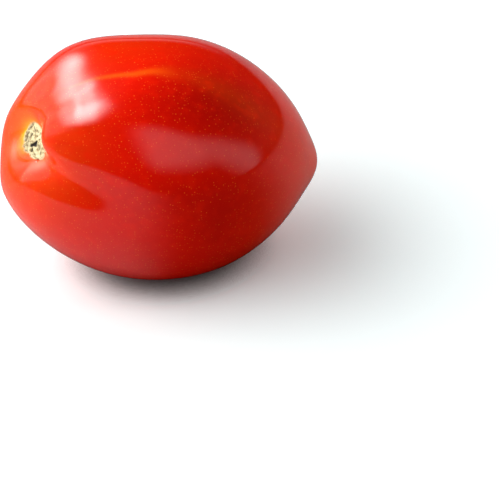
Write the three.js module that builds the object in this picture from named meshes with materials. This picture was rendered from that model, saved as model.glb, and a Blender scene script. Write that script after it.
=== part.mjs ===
// A ripe plum tomato, picked without its stalk and lying on its side on a small flat spot.
// It grew as one piece, so it is one closed solid: an egg-shaped body with three lobes that meet in a
// dimple round the corky stem scar, and a nipple at the blossom end.
// Millimetres, +Z up. The stem end points to -X, raised a little, and the flat spot is centred on the origin.
import * as THREE from 'three';

// The body, before the dimple and the valleys between the lobes
const halfLength = 34.5; // from the middle to either end
const stemEndExtra = 4.23; // the stem end reaches this much further than the middle, the blossom end less
const halfThickness = 25.89;
const taper = [0.046, -0.09, 0.036]; // fuller towards the stem end, by powers of the axial share
const frontToBack = 1.012; // hardly broader than it is thick

// The scar and the blossom end lie off the body's axis
const scarTowardsFront = degrees(4.54);
const scarTowardsTop = degrees(10.83);
const blossomTowardsFront = degrees(3.77);
const blossomTowardsTop = degrees(-2.11);

// Valleys part the lobes. Angles run round the axis, from the front over the top. The upper valley ends
// before the dimple, the other two open it, and the far one is too shallow to be seen along the flank
const valleys = [
  { at: degrees(92), depth: 0.0705, width: degrees(19.2), opensDimple: 0 },
  { at: degrees(2.75), depth: 0.0666, width: degrees(23.5), opensDimple: 1 },
  { at: degrees(231.5), depth: 0.0118, width: degrees(44.1), opensDimple: 1 },
];
const valleyDeepest = degrees(36); // angle from the scar where a valley is deepest
const valleyReach = degrees(26);
const valleyFarShare = 0.2; // what is left of a valley along the flanks
const valleyFadeOut = degrees(70); // angle from the blossom end over which it fades away

// The dimple round the scar: its wall is steep under each lobe, and gentler where a valley opens it
const dimpleDepth = 4.86;
const dimpleSpread = degrees(10.16);
const dimpleOpening = degrees(4.5);
const wallSteepness = 3.62;
const wallEasing = 1.4;

// Where the skin stands out from the plain body: the shoulder over the scar, the ridge beside the upper
// valley, the belly that it lies on, and the start of the upper valley, which is shallow
const swellings = [
  { at: degrees(39.1), fromScar: degrees(16), lift: 1.065, width: degrees(36), reach: degrees(14) },
  { at: degrees(155.2), fromScar: degrees(48.7), lift: 3.29, width: degrees(28.1), reach: degrees(21.6) },
  { at: degrees(287.1), fromScar: degrees(64.9), lift: 0.995, width: degrees(40), reach: degrees(28) },
  { at: degrees(92), fromScar: degrees(26), lift: 0.87, width: degrees(14.8), reach: degrees(22.9) },
];

// The corky scar, drawn out a little into the valleys that open the dimple
const scarRadius = degrees(6.2);
const scarPoints = degrees(2.2);
const scarRise = 0.35;
const scarEdge = degrees(1.5); // width of its sloping edge

// A low, blunt nipple at the blossom end
const nippleHeight = 2.06;
const nippleSpread = degrees(11.4);

// How it lies
const stemEndRaised = degrees(10.58);
const flatDepth = 0.9; // how much of the round underside the flat spot takes away
const flatSoftness = 0.25; // the rounding at the edge of the flat spot

// How finely the surface is faceted
const ringCount = 46;
const sidesPerRing = 80;
const ringCrowding = 0.6; // rings lie closer together at both ends

const skinColour = 0xd22010;

function degrees(angle) {
  return (angle * Math.PI) / 180;
}

function bell(distance, width) {
  return Math.exp(-((distance / width) ** 2));
}

function smoothStep(share) {
  const t = Math.min(1, Math.max(0, share));
  return t * t * (3 - 2 * t);
}

// The shortest way round from one angle to another
function angleBetween(a, b) {
  return Math.abs(((a - b + 3 * Math.PI) % (2 * Math.PI)) - Math.PI);
}

// Angle of a ring from the scar, for a share of the way to the blossom end
function ringAngle(share) {
  return Math.PI * share - (ringCrowding / 2) * Math.sin(2 * Math.PI * share);
}

// Rings near the scar are drawn out into its points, so that one of them is the scar's outline
function drawnOut(ring, round) {
  const share = ring / scarRadius;
  return ring + scarPoints * opening(round) * share * Math.exp(1 - share);
}

// A direction from the body's middle. Rings are centred on the scar at one end and on the blossom end at
// the other
function directionAt(fromScar, round) {
  const direction = new THREE.Vector3(
    Math.cos(fromScar),
    Math.sin(fromScar) * Math.cos(round),
    Math.sin(fromScar) * Math.sin(round),
  );
  const scarShare = 0.5 * (1 + Math.cos(fromScar));
  const off = new THREE.Vector3(0, scarTowardsFront, scarTowardsTop).multiplyScalar(scarShare);
  off.addScaledVector(new THREE.Vector3(0, blossomTowardsFront, blossomTowardsTop), scarShare - 1);
  const axis = new THREE.Vector3(1, 0, 0).cross(off).normalize();
  return direction.applyAxisAngle(axis, off.length());
}

// Distance from the middle to the plain egg-shaped body
function bodyRadius(direction) {
  const axial = direction.x;
  const radial = Math.sqrt(Math.max(0, 1 - axial * axial));
  const length = halfLength + stemEndExtra * axial;
  const fullness = taper.reduce((sum, share, i) => sum + share * axial ** (i + 1), 1);
  return 1 / Math.hypot(axial / length, radial / (halfThickness * fullness));
}

// How far the dimple is opened: 1 in the middle of an opening valley and 0 away from them all
function opening(round) {
  const share = valleys.reduce((sum, v) => sum + v.opensDimple * bell(angleBetween(round, v.at), v.width), 0);
  return Math.min(1, share);
}

function valleyDepth(round) {
  return valleys.reduce((sum, v) => sum + v.depth * bell(angleBetween(round, v.at), v.width), 0);
}

// How strong the valleys are on the way from the scar to the blossom end, where they fade out
function valleyStrength(fromScar) {
  const near = bell(fromScar - valleyDeepest, valleyReach);
  const strength = fromScar < valleyDeepest ? near : valleyFarShare + (1 - valleyFarShare) * near;
  return strength * smoothStep((Math.PI - fromScar) / valleyFadeOut);
}

function dimple(fromScar, round) {
  const share = opening(round);
  const spread = dimpleSpread + dimpleOpening * share;
  return dimpleDepth * Math.exp(-((fromScar / spread) ** (wallSteepness - wallEasing * share)));
}

function swelling(fromScar, round) {
  return swellings.reduce((sum, s) => {
    const share = bell(angleBetween(round, s.at), s.width) * bell(fromScar - s.fromScar, s.reach);
    return sum + s.lift * share;
  }, 0);
}

function scarRelief(ring) {
  return scarRise * smoothStep((scarRadius - ring) / scarEdge + 0.5);
}

// A point of the skin, with the stem axis along +X, the front along +Y and the top along +Z
function skinPoint(ring, round) {
  const fromScar = drawnOut(ring, round);
  const direction = directionAt(fromScar, round);
  const clearOfScar = 1 - bell(fromScar, scarRadius); // lobes and valleys don't reach into the scar
  let radius = bodyRadius(direction) * (1 - clearOfScar * valleyDepth(round) * valleyStrength(fromScar));
  radius += clearOfScar * swelling(fromScar, round) - dimple(fromScar, round);
  radius += scarRelief(ring);
  radius += nippleHeight * bell(Math.PI - fromScar, nippleSpread);
  const point = direction.multiplyScalar(radius);
  point.y *= frontToBack;
  return point;
}

// Turns the stem end to -X and raises it
function laidDown(point) {
  const stemward = new THREE.Vector3(-Math.cos(stemEndRaised), 0, Math.sin(stemEndRaised));
  const frontward = new THREE.Vector3(0, -1, 0);
  const upward = new THREE.Vector3(Math.sin(stemEndRaised), 0, Math.cos(stemEndRaised));
  return new THREE.Vector3()
    .addScaledVector(stemward, point.x)
    .addScaledVector(frontward, point.y)
    .addScaledVector(upward, point.z);
}

// Flat where the skin would be below the surface, and rounded into the underside at the edge
function flattened(height) {
  if (height < -flatSoftness) return 0;
  if (height > flatSoftness) return height;
  return (height + flatSoftness) ** 2 / (4 * flatSoftness);
}

function skinPoints() {
  const points = [laidDown(skinPoint(0, 0))];
  for (let ring = 1; ring < ringCount; ring++) {
    for (let side = 0; side < sidesPerRing; side++) {
      const round = (2 * Math.PI * side) / sidesPerRing;
      points.push(laidDown(skinPoint(ringAngle(ring / ringCount), round)));
    }
  }
  points.push(laidDown(skinPoint(Math.PI, 0)));
  const lowest = points.reduce((low, point) => (point.z < low.z ? point : low)).clone();
  for (const point of points) {
    point.x -= lowest.x;
    point.y -= lowest.y;
    point.z = flattened(point.z - lowest.z - flatDepth);
  }
  return points;
}

// Triangles between the rings, with a fan at each end, all facing out
function skinTriangles() {
  const indices = [];
  const last = 1 + (ringCount - 1) * sidesPerRing;
  const corner = (ring, side) => 1 + (ring - 1) * sidesPerRing + (side % sidesPerRing);
  for (let side = 0; side < sidesPerRing; side++) {
    indices.push(0, corner(1, side), corner(1, side + 1));
    for (let ring = 1; ring < ringCount - 1; ring++) {
      const [a, b] = [corner(ring, side), corner(ring, side + 1)];
      const [c, d] = [corner(ring + 1, side), corner(ring + 1, side + 1)];
      indices.push(a, c, d, a, d, b);
    }
    indices.push(last, corner(ringCount - 1, side + 1), corner(ringCount - 1, side));
  }
  return indices;
}

function makeTomato() {
  const geometry = new THREE.BufferGeometry();
  const positions = skinPoints().flatMap((point) => point.toArray());
  geometry.setAttribute('position', new THREE.Float32BufferAttribute(positions, 3));
  geometry.setIndex(skinTriangles());
  geometry.computeVertexNormals();
  const material = new THREE.MeshStandardMaterial({ color: skinColour, roughness: 0.25, metalness: 0 });
  const mesh = new THREE.Mesh(geometry, material);
  mesh.name = 'tomato';
  return mesh;
}

const tomato = new THREE.Group();
tomato.add(makeTomato());
export default tomato;
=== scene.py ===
import math

import bpy
import numpy as np
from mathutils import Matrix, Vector, noise


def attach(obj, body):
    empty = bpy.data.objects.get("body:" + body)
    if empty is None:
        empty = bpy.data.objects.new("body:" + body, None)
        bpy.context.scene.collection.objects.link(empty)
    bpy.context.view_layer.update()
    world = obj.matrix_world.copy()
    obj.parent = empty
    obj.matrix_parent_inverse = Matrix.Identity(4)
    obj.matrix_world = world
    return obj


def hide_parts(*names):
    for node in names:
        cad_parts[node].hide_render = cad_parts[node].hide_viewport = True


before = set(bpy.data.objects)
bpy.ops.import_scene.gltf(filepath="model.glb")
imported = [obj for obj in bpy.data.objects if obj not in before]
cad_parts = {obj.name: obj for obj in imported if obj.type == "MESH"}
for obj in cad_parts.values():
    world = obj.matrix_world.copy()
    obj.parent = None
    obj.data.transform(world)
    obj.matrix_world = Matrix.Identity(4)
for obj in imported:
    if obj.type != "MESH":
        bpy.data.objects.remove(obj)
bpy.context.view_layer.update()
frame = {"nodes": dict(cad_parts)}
scene = bpy.context.scene
print("frame loaded:", ", ".join(frame["nodes"]))

# The fruit's form, in millimetres and degrees. Angles "at" run round the stem axis, from the front over
# the top, and "fromScar" runs from the scar to the blossom end
fruitForm = {
    "halfLength": 34.5,
    "stemEndExtra": 4.23,        # the stem end reaches further than the blossom end
    "halfThickness": 25.89,
    "taper": (0.046, -0.09, 0.036),
    "frontToBack": 1.012,
    "scarTowards": (4.54, 10.83),        # both ends lie off the axis, towards the front and the top
    "blossomTowards": (3.77, -2.11),
    "valleys": (                 # at, depth, width, how much it opens the dimple
        (92, 0.0705, 19.2, 0),
        (2.75, 0.0666, 23.5, 1),
        (231.5, 0.0118, 44.1, 1),
    ),
    "valleyDeepest": 36,
    "valleyReach": 26,
    "valleyFarShare": 0.2,
    "valleyFadeOut": 70,
    "dimpleDepth": 4.86,
    "dimpleSpread": 10.16,
    "dimpleOpening": 4.5,
    "wallSteepness": 3.62,
    "wallEasing": 1.4,
    "swellings": (               # at, fromScar, lift, width, reach
        (39.1, 16, 1.065, 36, 14),
        (155.2, 48.7, 3.29, 28.1, 21.6),
        (287.1, 64.9, 0.995, 40, 28),
        (92, 26, 0.87, 14.8, 22.9),
    ),
    "nippleHeight": 2.06,
    "nippleSpread": 11.4,
    "stemEndRaised": 10.58,
    "flatDepth": 0.9,
    "flatSoftness": 0.25,
}
scarForm = {
    "radius": 6.2,               # degrees from its middle to its edge
    "points": 2.2,               # how far it is drawn out into the valleys
    "rise": 0.35,
    "edge": 1.5,
}
# Low relief of the skin: heights and sizes in millimetres
skinDetail = {
    "swell": 0.035,
    "swellSize": 12.0,
    "ripple": 0.012,
    "rippleSize": 4.0,
    "fadesIn": 10,               # degrees from the edge of the scar over which they start
    "creases": (                 # at, fromScar, lift, width, reach
        (83.1, 31.4, 0.13, 13.4, 12.3),
        (124.3, 18.3, -0.32, 11.8, 5.2),
        (74.8, 25.6, 0.08, 20.9, 2.6),
        (92.7, 56.9, -0.04, 3.0, 11.1),
        (91.0, 26.8, -0.14, 5.6, 4.9),
        (80.7, 15.8, -0.1, 7.6, 14.0),
    ),
}
# The cork of the scar. Pits and cracks run from one place to another, in degrees from the middle of the
# scar, and each has a width and a strength
scarDetail = {
    "outline": (                 # at, growth, width
        (135, 1.6, 28),
        (228, -3.0, 42),
        (288, -2.4, 36),
        (25, 1.0, 30),
    ),
    "jag": 0.5,
    "jagsAround": 3.0,
    "edge": 0.7,
    "grain": 0.06,
    "grainSize": 0.45,
    "finerGrain": {"timesFiner": 2.3, "share": 0.5},
    "pitDepth": 0.55,
    "crackDepth": 0.16,
    "crackBreaks": {"size": 0.9, "kept": 0.8, "contrast": 1.6},  # stretches where a crack fades
    "pits": (
        ((0.9, 1.2), (0.6, 0.1), 0.6, 1.3),
        ((0.1, -0.6), (-0.1, -0.8), 0.5, 1.1),
        ((1.2, -1.8), (1.5, -2.2), 0.5, 1.1),
        ((6.0, -1.9), (6.2, -2.3), 0.45, 1.0),
        ((2.6, 0.9), (2.8, 0.5), 0.4, 1.0),
        ((2.2, 2.8), (2.0, 3.1), 0.4, 0.9),
        ((-0.6, 2.9), (-0.4, 3.0), 0.35, 0.8),
        ((-3.3, 1.6), (-3.2, 1.2), 0.4, 0.9),
    ),
    "cracks": (
        ((-5.4, 5.0), (-5.3, 1.6), 0.45, 1.3),
        ((-5.3, 1.6), (-4.2, 0.0), 0.45, 1.2),
        ((-4.2, 0.0), (-2.6, -1.4), 0.4, 1.1),
        ((-2.6, -1.4), (-1.4, -2.5), 0.3, 0.8),
        ((-1.4, -2.5), (1.0, -3.4), 0.3, 0.8),
        ((-3.3, 1.6), (-2.5, -0.2), 0.35, 1.1),
        ((-2.5, -0.2), (-0.9, -1.4), 0.25, 0.8),
        ((-4.0, 4.4), (-2.0, 3.2), 0.3, 0.9),
        ((-2.4, 4.6), (0.5, 4.2), 0.25, 0.8),
        ((3.4, 3.2), (4.3, 0.2), 0.3, 0.9),
        ((4.3, 0.2), (3.2, -2.6), 0.25, 0.8),
        ((0.6, 0.1), (0.1, -0.6), 0.25, 0.9),
        ((0.1, -0.8), (1.2, -1.8), 0.25, 0.8),
        ((1.0, 1.2), (2.6, 0.9), 0.25, 0.7),
        ((0.5, 5.5), (3.0, 5.2), 0.3, 0.8),
    ),
}
meshFineness = {"rings": 230, "sides": 320, "crowding": 0.6, "solidRings": 46, "solidSides": 80}
millimetre = 0.001


def bell(distance, width):
    return np.exp(-((distance / width) ** 2))


def smoothStep(share):
    t = np.clip(share, 0.0, 1.0)
    return t * t * (3 - 2 * t)


def angleBetween(a, b):
    return np.abs((a - b + 180) % 360 - 180)


def opening(around):
    shares = [
        opens * bell(angleBetween(around, at), width)
        for at, depth, width, opens in fruitForm["valleys"]
    ]
    return np.minimum(1.0, sum(shares))


def valleyDepth(around, fromScar):
    form = fruitForm
    cut = sum(depth * bell(angleBetween(around, at), width) for at, depth, width, opens in form["valleys"])
    near = bell(fromScar - form["valleyDeepest"], form["valleyReach"])
    beyond = form["valleyFarShare"] + (1 - form["valleyFarShare"]) * near
    strength = np.where(fromScar < form["valleyDeepest"], near, beyond)
    return cut * strength * smoothStep((180 - fromScar) / form["valleyFadeOut"])


def swelling(around, fromScar, swellings):
    lifts = [
        lift * bell(angleBetween(around, at), width) * bell(fromScar - middle, reach)
        for at, middle, lift, width, reach in swellings
    ]
    return sum(lifts)


def dimple(around, fromScar):
    form = fruitForm
    share = opening(around)
    spread = form["dimpleSpread"] + form["dimpleOpening"] * share
    steepness = form["wallSteepness"] - form["wallEasing"] * share
    return form["dimpleDepth"] * np.exp(-((fromScar / spread) ** steepness))


# Unit directions from the fruit's middle: x along the stem axis, y to the front, z to the top. Rings are
# centred on the scar at one end and on the blossom end at the other
def directionAt(around, fromScar):
    s, w = np.radians(fromScar), np.radians(around)
    direction = np.stack([np.cos(s) + 0 * w, np.sin(s) * np.cos(w), np.sin(s) * np.sin(w)], -1)
    scarShare = 0.5 * (1 + np.cos(s))[..., None]
    scar, blossom = np.radians(fruitForm["scarTowards"]), np.radians(fruitForm["blossomTowards"])
    off = scar * scarShare - blossom * (1 - scarShare)
    turn = np.linalg.norm(off, axis=-1)
    heading = off / np.maximum(turn, 1e-9)[..., None]
    axial = direction[..., 0]
    ahead = (direction[..., 1:] * heading).sum(-1)
    turnedAxial = axial * np.cos(turn) - ahead * np.sin(turn)
    turnedAhead = axial * np.sin(turn) + ahead * np.cos(turn)
    crosswise = direction[..., 1:] + (turnedAhead - ahead)[..., None] * heading
    return np.concatenate([turnedAxial[..., None], crosswise], -1)


def bodyRadius(direction):
    form = fruitForm
    axial = direction[..., 0]
    radial = np.sqrt(np.maximum(0.0, 1 - axial ** 2))
    length = form["halfLength"] + form["stemEndExtra"] * axial
    fullness = 1 + sum(share * axial ** (i + 1) for i, share in enumerate(form["taper"]))
    return 1 / np.hypot(axial / length, radial / (form["halfThickness"] * fullness))


def skinPoints(around, ring):
    form = fruitForm
    share = ring / scarForm["radius"]
    fromScar = ring + scarForm["points"] * opening(around) * share * np.exp(1 - share)
    direction = directionAt(around, fromScar)
    clearOfScar = 1 - bell(fromScar, scarForm["radius"])
    radius = bodyRadius(direction) * (1 - clearOfScar * valleyDepth(around, fromScar))
    radius = radius + clearOfScar * swelling(around, fromScar, form["swellings"]) - dimple(around, fromScar)
    radius = radius + scarForm["rise"] * smoothStep((scarForm["radius"] - ring) / scarForm["edge"] + 0.5)
    radius = radius + form["nippleHeight"] * bell(180 - fromScar, form["nippleSpread"])
    points = direction * radius[..., None]
    points[..., 1] *= form["frontToBack"]
    return points


def laidDown(points):
    raised = math.radians(fruitForm["stemEndRaised"])
    stemward = np.array([-math.cos(raised), 0, math.sin(raised)])
    frontward = np.array([0.0, -1, 0])
    upward = np.array([math.sin(raised), 0, math.cos(raised)])
    return points[..., 0:1] * stemward + points[..., 1:2] * frontward + points[..., 2:3] * upward


def flattened(height):
    soft = fruitForm["flatSoftness"]
    rounded = (height + soft) ** 2 / (4 * soft)
    return np.where(height < -soft, 0.0, np.where(height > soft, height, rounded))


# Where the skin changes colour, and where a painted highlight and painted shade are laid on it. The halo is
# yellow and hugs the scar, the blush is orange, and both ends of the fruit are a lighter red than its middle
ripeningAndPaintedLight = {
    "halo": {"at": 190, "width": 62, "reach": 1.8, "allRound": 0.12},
    "blush": {"at": 200, "width": 75, "fromScar": 9, "reach": 11},
    "ends": {"stem": 15, "stemReach": 17, "blossom": 165, "blossomReach": 36, "blossomShare": 0.8},
    # spots: at, fromScar, width, reach, strength
    "lighter": (
        (118, 58, 26, 34, 0.45),
    ),
    # pale pink patches at the scar's edge: partly the skin's own pale rim, partly a painted highlight
    "paleAndPaintedHighlight": (
        (342, 8.6, 20, 2.4, 0.6),
        (231, 7.4, 18, 3.0, 0.4),
    ),
    # deeper red patches: partly the skin's own deeper red, partly painted shade
    "deepAndShaded": (
        (62, 94, 18, 38, 1.0),
        (8, 52, 16, 20, 0.4),
        (14, 90, 13, 24, 0.45),
    ),
    # a pale vein from the cleft to the blossom end: fromScar, at, width, strength
    "vein": (
        (24, 100, 2.0, 0.0), (34, 96, 2.0, 0.6), (51, 86, 2.2, 0.8), (60, 84, 2.6, 0.6), (72, 79, 5.0, 0.12),
        (96, 68, 8.0, 0.12), (110, 62, 9.0, 0.12), (134, 55, 8.0, 0.05), (180, 50, 8.0, 0.0),
    ),
    "streakLength": 60,          # degrees along the fruit over which its fine streaks change
}


def haloAt(around, ring, outline):
    halo = ripeningAndPaintedLight["halo"]
    side = bell(angleBetween(around, halo["at"]), halo["width"])
    beyond = np.maximum(ring - outline, 0)
    return np.exp(-beyond / halo["reach"]) * (halo["allRound"] + (1 - halo["allRound"]) * side)


def blushAt(around, ring):
    blush = ripeningAndPaintedLight["blush"]
    side = bell(angleBetween(around, blush["at"]), blush["width"])
    return side * np.exp(-np.maximum(ring - blush["fromScar"], 0) / blush["reach"])


def endsAt(around, ring):
    ends = ripeningAndPaintedLight["ends"]
    nearStem = bell(np.maximum(ring - ends["stem"], 0), ends["stemReach"])
    nearBlossom = bell(np.maximum(ends["blossom"] - ring, 0), ends["blossomReach"])
    spots = spotsAt(around, ring, ripeningAndPaintedLight["lighter"])
    return np.clip(nearStem + ends["blossomShare"] * nearBlossom + spots, 0, 1)


def spotsAt(around, ring, spots):
    shares = [
        strength * bell(angleBetween(around, at), width) * bell(ring - middle, reach)
        for at, middle, width, reach, strength in spots
    ]
    return np.clip(sum(shares), 0, 1)


def veinAt(around, ring):
    fromScar, at, width, strength = np.array(ripeningAndPaintedLight["vein"]).T
    off = angleBetween(around, np.interp(ring, fromScar, at))
    return np.interp(ring, fromScar, strength) * bell(off, np.interp(ring, fromScar, width))


def gridAngles(rings, sides):
    share = np.arange(1, rings) / rings
    ring = 180 * share - 90 * meshFineness["crowding"] / math.pi * np.sin(2 * math.pi * share)
    ring, around = np.meshgrid(ring, np.arange(sides) * 360.0 / sides, indexing="ij")
    return np.concatenate([[0.0], around.ravel(), [0.0]]), np.concatenate([[0.0], ring.ravel(), [180.0]])


# The solid rests on the lowest corner of its own coarser mesh, so that is what the skin is moved by
def restingCorner():
    around, ring = gridAngles(meshFineness["solidRings"], meshFineness["solidSides"])
    points = laidDown(skinPoints(around, ring))
    return points[points[:, 2].argmin()]


# Smooth noise at each point, for features of the given size in millimetres
def noiseAt(points, size):
    return np.array([noise.noise(Vector(p) / size) for p in points])


# Distance from each place to a line between two others, all in degrees in the plane of the scar
def distanceToLine(places, start, end):
    start, end = np.array(start), np.array(end)
    along = end - start
    share = np.clip((places - start) @ along / (along @ along), 0, 1)
    return np.linalg.norm(places - start - share[:, None] * along, axis=1)


def lineMarks(places, marks):
    strengths = [
        bell(distanceToLine(places, start, end), width) * strength
        for start, end, width, strength in marks
    ]
    return np.clip(sum(strengths), 0, 1)


def meshOf(name, points, faces):
    mesh = bpy.data.meshes.new(name)
    mesh.from_pydata(points.tolist(), [], faces)
    mesh.shade_smooth()
    piece = bpy.data.objects.new(name, mesh)
    scene.collection.objects.link(piece)
    return piece


def storeValues(mesh, name, values):
    mesh.attributes.new(name, "FLOAT", "POINT").data.foreach_set("value", values.astype(np.float32))


def ringFaces(rings, sides):
    last = 1 + (rings - 1) * sides
    faces = []
    for side in range(sides):
        after = (side + 1) % sides
        faces.append((0, 1 + side, 1 + after))
        for row in range(1, last - sides, sides):
            faces.append((row + side, row + sides + side, row + sides + after, row + after))
        faces.append((last, last - sides + after, last - sides + side))
    return faces


# The ragged edge of the cork, as an angle from the middle of the scar
def scarOutline(around):
    w = np.radians(around)
    circle = scarDetail["jagsAround"] * np.stack([np.cos(w), np.sin(w), 0 * w], -1)
    grown = [grow * bell(angleBetween(around, at), width) for at, grow, width in scarDetail["outline"]]
    return scarForm["radius"] + sum(grown) + scarDetail["jag"] * noiseAt(circle, 1.0)


def buildFruit():
    rings, sides = meshFineness["rings"], meshFineness["sides"]
    around, ring = gridAngles(rings, sides)
    points = skinPoints(around, ring)
    outwards = points / np.linalg.norm(points, axis=1)[:, None]
    places = np.stack([ring * np.cos(np.radians(around)), ring * np.sin(np.radians(around))], -1)

    # low swells of the skin, then the grain, pits and cracks of the cork
    wave = skinDetail["swell"] * noiseAt(points, skinDetail["swellSize"])
    wave += skinDetail["ripple"] * noiseAt(points, skinDetail["rippleSize"])
    wave += swelling(around, ring, skinDetail["creases"])
    wave *= smoothStep((ring - scarForm["radius"]) / skinDetail["fadesIn"])
    outline = scarOutline(around)
    cork = smoothStep((outline - ring) / scarDetail["edge"] + 0.5)
    pits = lineMarks(places, scarDetail["pits"])
    breaks = scarDetail["crackBreaks"]
    broken = noiseAt(np.column_stack([places, np.zeros(len(places))]), breaks["size"])
    whole = smoothStep(breaks["kept"] + breaks["contrast"] * broken)
    cracks = whole * lineMarks(places, scarDetail["cracks"])
    coarse, finer = scarDetail["grainSize"], scarDetail["finerGrain"]
    grain = noiseAt(points, coarse) + finer["share"] * noiseAt(points, coarse / finer["timesFiner"])
    relief = wave + cork * scarDetail["grain"] * grain
    relief -= scarDetail["pitDepth"] * pits + scarDetail["crackDepth"] * cracks
    points = laidDown(points + outwards * relief[:, None])

    lowest = restingCorner()
    points[:, :2] -= lowest[:2]
    points[:, 2] = flattened(points[:, 2] - lowest[2] - fruitForm["flatDepth"])
    middle = Vector((-lowest[0], -lowest[1], -lowest[2] - fruitForm["flatDepth"])) * millimetre
    fruit = meshOf("tomato_skin", points * millimetre, ringFaces(rings, sides))

    mesh = fruit.data
    storeValues(mesh, "cork", cork)
    storeValues(mesh, "pit", pits)
    storeValues(mesh, "crack", cracks)
    storeValues(mesh, "halo", haloAt(around, ring, outline))
    storeValues(mesh, "blush", blushAt(around, ring))
    storeValues(mesh, "vein", veinAt(around, ring))
    storeValues(mesh, "ends", endsAt(around, ring))
    storeValues(mesh, "paleAndPaintedHighlight", spotsAt(around, ring, ripeningAndPaintedLight["paleAndPaintedHighlight"]))
    storeValues(mesh, "deepAndShaded", spotsAt(around, ring, ripeningAndPaintedLight["deepAndShaded"]))
    lengthwise = ring / ripeningAndPaintedLight["streakLength"]
    meridian = np.stack([np.cos(np.radians(around)), np.sin(np.radians(around)), lengthwise], -1)
    attribute = mesh.attributes.new("meridian", "FLOAT_VECTOR", "POINT")
    attribute.data.foreach_set("vector", meridian.astype(np.float32).ravel())
    return fruit, middle


fruit, middle = buildFruit()
print("fruit built:", len(fruit.data.polygons), "faces")

skinLook = {
    "red": (0.80, 0.0065, 0.0010),
    "brighterRed": (0.90, 0.014, 0.0012),
    "endRed": (0.84, 0.042, 0.0020),
    "deepRed": (0.50, 0.0040, 0.0010),
    "blush": (0.92, 0.062, 0.006),
    "halo": (1.0, 0.44, 0.02),
    "vein": (0.95, 0.12, 0.004),
    "paleAndPaintedHighlight": (0.95, 0.30, 0.22),
    "speckle": (1.0, 0.20, 0.03),
    "specklesPerMetre": 1900.0,
    "speckleStrength": 0.55,
    "speckleEdge": (0.32, 0.1),
    "speckleChoice": (0.35, 1.0),
    # noise that mottles the red: scale, detail and roughness, the values over which it shows, share, tone
    "mottling": {
        "streaks": ((9.0, 3.0, 0.5), (0.45, 0.75), 0.4, "brighterRed"),
        "clouds": ((60.0, 4.0, 0.6), (0.5, 0.8), 0.4, "deepRed"),
        "grains": ((500.0, 2.0, 0.5), (0.5, 0.8), 0.3, "brighterRed"),
    },
    "pores": {"perMetre": 1400.0, "detail": 1.0, "strength": 0.1, "depth": 0.0001},
    "shader": {
        "Roughness": 0.38,
        "Specular IOR Level": 0.0,   # the coat alone mirrors
        "Coat Weight": 1.0,
        "Coat IOR": 1.45,
        "Coat Roughness": 0.08,
        "Subsurface Weight": 0.25,
        "Subsurface Radius": (1.0, 0.25, 0.1),
        "Subsurface Scale": 0.0025,
    },
}
corkLook = {
    "cream": (0.66, 0.58, 0.33),
    "tan": (0.30, 0.22, 0.09),
    "crack": (0.10, 0.06, 0.02),
    "pit": (0.012, 0.006, 0.002),
    "fibres": (1300.0, 4.0, 0.7),
    "tanRange": (0.45, 0.62),
    "pitRange": (0.25, 0.7),
    "pores": {"perMetre": 3000.0, "detail": 3.0, "strength": 0.5, "depth": 0.0002},
    "shader": {"Roughness": 0.8},
}


def addNode(tree, kind, inputs=None, **settings):
    node = tree.nodes.new("ShaderNode" + kind)
    for name, value in settings.items():
        setattr(node, name, value)
    for name, value in (inputs or {}).items():
        if isinstance(value, bpy.types.NodeSocket):
            tree.links.new(value, node.inputs[name])
        else:
            node.inputs[name].default_value = value
    return node


def readAttribute(tree, name, output="Fac"):
    return addNode(tree, "Attribute", attribute_name=name).outputs[output]


def mixColours(tree, share, first, second):
    mix = addNode(tree, "Mix", data_type="RGBA")
    for socket, value in ((0, share), (6, first), (7, second)):
        if isinstance(value, bpy.types.NodeSocket):
            tree.links.new(value, mix.inputs[socket])
        else:
            mix.inputs[socket].default_value = (*value, 1) if isinstance(value, tuple) else value
    return mix.outputs[2]


def spread(tree, value, fromLow, fromHigh, toLow=0.0, toHigh=1.0):
    inputs = {"Value": value, "From Min": fromLow, "From Max": fromHigh, "To Min": toLow, "To Max": toHigh}
    return addNode(tree, "MapRange", inputs, interpolation_type="SMOOTHSTEP").outputs["Result"]


def combine(tree, operation, first, second):
    node = addNode(tree, "Math", operation=operation)
    for socket, value in zip(node.inputs, (first, second)):
        if isinstance(value, bpy.types.NodeSocket):
            tree.links.new(value, socket)
        else:
            socket.default_value = value
    return node.outputs["Value"]


# How far a direction, as a socket, points the way of a fixed one
def facing(tree, direction, towards):
    node = addNode(tree, "VectorMath", operation="DOT_PRODUCT")
    tree.links.new(direction, node.inputs[0])
    node.inputs[1].default_value = towards
    return node.outputs["Value"]


def newMaterial(name, settings):
    material = bpy.data.materials.new(name)
    material.use_nodes = True
    tree = material.node_tree
    shader = tree.nodes["Principled BSDF"]
    for socket, value in settings.items():
        shader.inputs[socket].default_value = value
    return material, tree, shader


def noiseTexture(tree, place, scale, detail, roughness=0.5):
    inputs = {"Vector": place, "Scale": scale, "Detail": detail, "Roughness": roughness}
    return addNode(tree, "TexNoise", inputs).outputs["Fac"]


# Golden speckles: one small dot in most cells of a Voronoi pattern
def speckles(tree, place):
    inputs = {"Vector": place, "Scale": skinLook["specklesPerMetre"], "Randomness": 1.0}
    cells = addNode(tree, "TexVoronoi", inputs)
    parts = addNode(tree, "SeparateColor", {"Color": cells.outputs["Color"]})
    dot = spread(tree, cells.outputs["Distance"], *skinLook["speckleEdge"])
    some = spread(tree, parts.outputs["Red"], *skinLook["speckleChoice"])
    return combine(tree, "MULTIPLY", dot, some)


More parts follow.
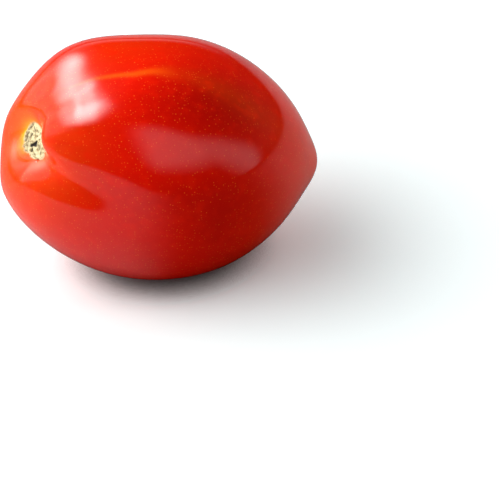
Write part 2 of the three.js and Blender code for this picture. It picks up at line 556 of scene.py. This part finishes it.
def skinColour(tree, place):
    meridian = readAttribute(tree, "meridian", "Vector")
    colour = mixColours(tree, readAttribute(tree, "ends"), skinLook["red"], skinLook["endRed"])
    # deeper red patches, partly painted shade
    colour = mixColours(tree, readAttribute(tree, "deepAndShaded"), colour, skinLook["deepRed"])
    for name, (texture, shows, share, tone) in skinLook["mottling"].items():
        pattern = noiseTexture(tree, meridian if name == "streaks" else place, *texture)
        colour = mixColours(tree, spread(tree, pattern, *shows, 0, share), colour, skinLook[tone])
    # blush and vein are the skin's own colours; the pale patches are partly a painted highlight
    for tone in ("blush", "vein", "paleAndPaintedHighlight"):
        colour = mixColours(tree, readAttribute(tree, tone), colour, skinLook[tone])
    dots = combine(tree, "MULTIPLY", speckles(tree, place), skinLook["speckleStrength"])
    colour = mixColours(tree, dots, colour, skinLook["speckle"])
    return mixColours(tree, readAttribute(tree, "halo"), colour, skinLook["halo"])


def corkColour(tree, place):
    fibres = noiseTexture(tree, place, *corkLook["fibres"])
    tanShare = spread(tree, fibres, *corkLook["tanRange"])
    colour = mixColours(tree, tanShare, corkLook["cream"], corkLook["tan"])
    colour = mixColours(tree, readAttribute(tree, "crack"), colour, corkLook["crack"])
    pitShare = spread(tree, readAttribute(tree, "pit"), *corkLook["pitRange"])
    return mixColours(tree, pitShare, colour, corkLook["pit"])


# Both materials blend the same colours, so they meet without a seam, and differ in gloss and relief
def fruitMaterial(name, look):
    material, tree, shader = newMaterial(name, look["shader"])
    place = addNode(tree, "TexCoord").outputs["Object"]
    colour = mixColours(tree, readAttribute(tree, "cork"), skinColour(tree, place), corkColour(tree, place))
    tree.links.new(colour, shader.inputs["Base Color"])
    pores = look["pores"]
    height = noiseTexture(tree, place, pores["perMetre"], pores["detail"])
    inputs = {"Height": height, "Strength": pores["strength"], "Distance": pores["depth"]}
    tree.links.new(addNode(tree, "Bump", inputs).outputs["Normal"], shader.inputs["Normal"])
    return material


# Cork where the scar is, ripe skin elsewhere
def dressFruit(piece):
    mesh = piece.data
    mesh.materials.append(fruitMaterial("ripeSkin", skinLook))
    mesh.materials.append(fruitMaterial("scarCork", corkLook))
    cork = np.empty(len(mesh.vertices), dtype=np.float32)
    mesh.attributes["cork"].data.foreach_get("value", cork)
    for face in mesh.polygons:
        face.material_index = int(cork[list(face.vertices)].mean() > 0.5)


dressFruit(fruit)
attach(fruit, "root")
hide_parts("tomato")
print("fruit dressed:", len(fruit.data.materials), "materials")


# Azimuth 0 is the front (-Y) and 90 the right (+X)
def outward(azimuth, elevation):
    a, e = math.radians(azimuth), math.radians(elevation)
    return Vector((math.sin(a) * math.cos(e), -math.cos(a) * math.cos(e), math.sin(e)))


# The table is pure white to the camera, as in a cut-out product shot, with a painted shadow where the fruit
# closes it in. The skin mirrors it as grey, with painted light and shade: brighter on the side the light
# comes from, dark in the right foreground, where it is shaded, darker where the fruit closes it in, and
# fading out towards the horizon
tableLook = {
    "seen": (1.1, 1.2, 1.2),
    "shaded": (0.1, 0.1, 0.1),
    "bounced": (0.3, 0.3, 0.3),
    "mirrored": (0.34, 0.34, 0.34),
    "mirroredSides": (           # azimuth, range over which it starts, colour
        (-60, 0.2, 0.9, (0.68, 0.68, 0.68)),
        (22, 0.5, 0.95, (0.01, 0.01, 0.01)),
    ),
    "mirroredTo": (0.2, 0.9),    # metres over which the mirrored table fades out
    "black": (0.0, 0.0, 0.0),
    "shadeReach": 0.06,
    "shadeSamples": 16,
    "shadeRange": (0.16, 0.5),
    "mirroredShadeRange": (0.25, 0.9),
    "halfSize": 2.0,
    "shader": {"Roughness": 1.0, "Specular IOR Level": 0.0},
}


# The table as the skin mirrors it, with painted light and painted shade
def tableMirrored(tree):
    place = addNode(tree, "TexCoord").outputs["Object"]
    direction = addNode(tree, "VectorMath", {"Vector": place}, operation="NORMALIZE").outputs["Vector"]
    colour = tableLook["mirrored"]
    for azimuth, low, high, sideColour in tableLook["mirroredSides"]:
        side = facing(tree, direction, outward(azimuth, 0))
        colour = mixColours(tree, spread(tree, side, low, high), colour, sideColour)
    distance = addNode(tree, "VectorMath", {"Vector": place}, operation="LENGTH").outputs["Value"]
    near, far = tableLook["mirroredTo"]
    return mixColours(tree, spread(tree, distance, far, near), tableLook["black"], colour)


def makeTable():
    half = tableLook["halfSize"]
    corners = np.array([(-half, -half, 0), (half, -half, 0), (half, half, 0), (-half, half, 0)])
    table = meshOf("table", corners, [(0, 1, 2, 3)])
    material, tree, shader = newMaterial("whiteTable", tableLook["shader"])
    rays = addNode(tree, "LightPath").outputs
    reach, samples = tableLook["shadeReach"], tableLook["shadeSamples"]
    # painted shadow: the table's colour darkens where the fruit closes it in, for the camera and in the
    # skin's reflections
    openness = addNode(tree, "AmbientOcclusion", {"Distance": reach}, samples=samples).outputs["AO"]
    seenShare = spread(tree, openness, *tableLook["shadeRange"])
    seen = mixColours(tree, seenShare, tableLook["shaded"], tableLook["seen"])
    colour = mixColours(tree, rays["Is Camera Ray"], tableLook["bounced"], seen)
    mirroredShare = spread(tree, openness, *tableLook["mirroredShadeRange"])
    mirrored = mixColours(tree, mirroredShare, tableLook["black"], tableMirrored(tree))
    colour = mixColours(tree, rays["Is Glossy Ray"], colour, mirrored)
    tree.links.new(colour, shader.inputs["Base Color"])
    table.data.materials.append(material)


# Matt surfaces are lit by a soft sky with glows: azimuth, elevation, strength
skyLight = {
    "even": 0.02,
    "glows": ((-102, 8, 6.9), (180, 20, 0.5), (100, -8, 3.5)),
    "narrowing": 3.0,
}
# The gloss mirrors panels with feathered edges. Each corner is an azimuth and an elevation, and the
# feather of the edge that starts there
panels = {
    "window": {
        "radiance": 9.7,
        "corners": ((-174.3, 10.9, 6.5), (-102.4, 63.1, 6.0), (-80.6, 72.6, 3.8),
                    (-148.1, 71.4, 2.6), (-163.6, 59.6, 3.0), (-176.3, 18.2, 5.1)),
    },
    "windowCore": {
        "radiance": 9.4,
        "corners": ((-163.4, 44.3, 5.5), (-133.8, 59.1, 5.9), (-108.0, 74.7, 1.0),
                    (-152.3, 66.2, 1.0), (-164.0, 56.7, 4.0)),
    },
    "leftGlow": {
        "radiance": 1.1,
        "corners": ((-112, 4, 7), (-85, 50, 14), (-110, 76, 10), (-165, 60, 10), (-176, 5, 4)),
    },
    "frontPanel": {"radiance": 1.2, "corners": ((32, 23, 7), (30, 48, 7), (-18, 68, 7), (-14, 20, 10))},
    "rightPanel": {"radiance": 1.0, "corners": ((62, -10, 7), (72, 8, 7), (30, 48, 7), (32, 23, 9))},
}
# A glow low over the horizon behind the fruit
horizon = {"glow": 0.5, "height": 0.15, "behind": (0.8, 1.0)}
worldSeen = 0.9                  # what the camera sees past the edge of the table


# 1 inside the corners and 0 outside
def panelMask(tree, direction, corners):
    mask = 1.0
    for (azimuth, elevation, feather), after in zip(corners, corners[1:] + corners[:1]):
        inward = outward(azimuth, elevation).cross(outward(*after[:2])).normalized()
        edge = math.sin(math.radians(feather))
        inside = spread(tree, facing(tree, direction, inward), -edge, edge)
        mask = combine(tree, "MULTIPLY", inside, mask)
    return mask


def skyOf(tree, direction):
    total = skyLight["even"]
    for azimuth, elevation, strength in skyLight["glows"]:
        clipped = addNode(tree, "Clamp", {"Value": facing(tree, direction, outward(azimuth, elevation))})
        glow = combine(tree, "POWER", clipped.outputs["Result"], skyLight["narrowing"])
        total = combine(tree, "ADD", combine(tree, "MULTIPLY", glow, strength), total)
    return total


def mirroredSky(tree, direction):
    parts = addNode(tree, "SeparateXYZ", {"Vector": direction})
    low = spread(tree, parts.outputs["Z"], horizon["height"], 0.0)
    behind = spread(tree, parts.outputs["Y"], *horizon["behind"])
    total = combine(tree, "MULTIPLY", combine(tree, "MULTIPLY", low, behind), horizon["glow"])
    for panel in panels.values():
        lit = combine(tree, "MULTIPLY", panelMask(tree, direction, panel["corners"]), panel["radiance"])
        total = combine(tree, "ADD", lit, total)
    return total


def makeWorld():
    world = bpy.data.worlds.new("studio")
    world.use_nodes = True
    tree = world.node_tree
    direction = addNode(tree, "TexCoord").outputs["Generated"]
    rays = addNode(tree, "LightPath").outputs
    mix = addNode(tree, "Mix", data_type="FLOAT")
    tree.links.new(rays["Is Glossy Ray"], mix.inputs[0])
    tree.links.new(skyOf(tree, direction), mix.inputs[2])
    tree.links.new(mirroredSky(tree, direction), mix.inputs[3])
    colour = mixColours(tree, rays["Is Camera Ray"], mix.outputs[0], (worldSeen,) * 3)
    tree.links.new(colour, tree.nodes["Background"].inputs["Color"])
    scene.world = world


view = {
    "azimuth": -13.83,
    "elevation": 38.0,
    "distance": 0.55,
    "aimRight": 0.01595,         # the aim is right of the fruit's middle and below it,
    "aimDown": 0.02052,          # so the fruit sits at the upper left of the frame
    "lens": 184.32,
    "sensor": 36,
    "clipStart": 0.01,
}


def makeCamera():
    data = bpy.data.cameras.new("photoView")
    data.lens = view["lens"]
    data.sensor_width = view["sensor"]
    data.clip_start = view["clipStart"]
    camera = bpy.data.objects.new("photoView", data)
    scene.collection.objects.link(camera)
    towards = outward(view["azimuth"], view["elevation"])
    camera.location = middle + towards * view["distance"]
    right = Vector((0, 0, 1)).cross(towards).normalized()
    up = towards.cross(right)
    aim = middle + right * view["aimRight"] - up * view["aimDown"]
    camera.rotation_euler = (camera.location - aim).to_track_quat("Z", "Y").to_euler()
    scene.camera = camera


makeTable()
makeWorld()
makeCamera()
scene.view_settings.view_transform = "Standard"
print("studio set")
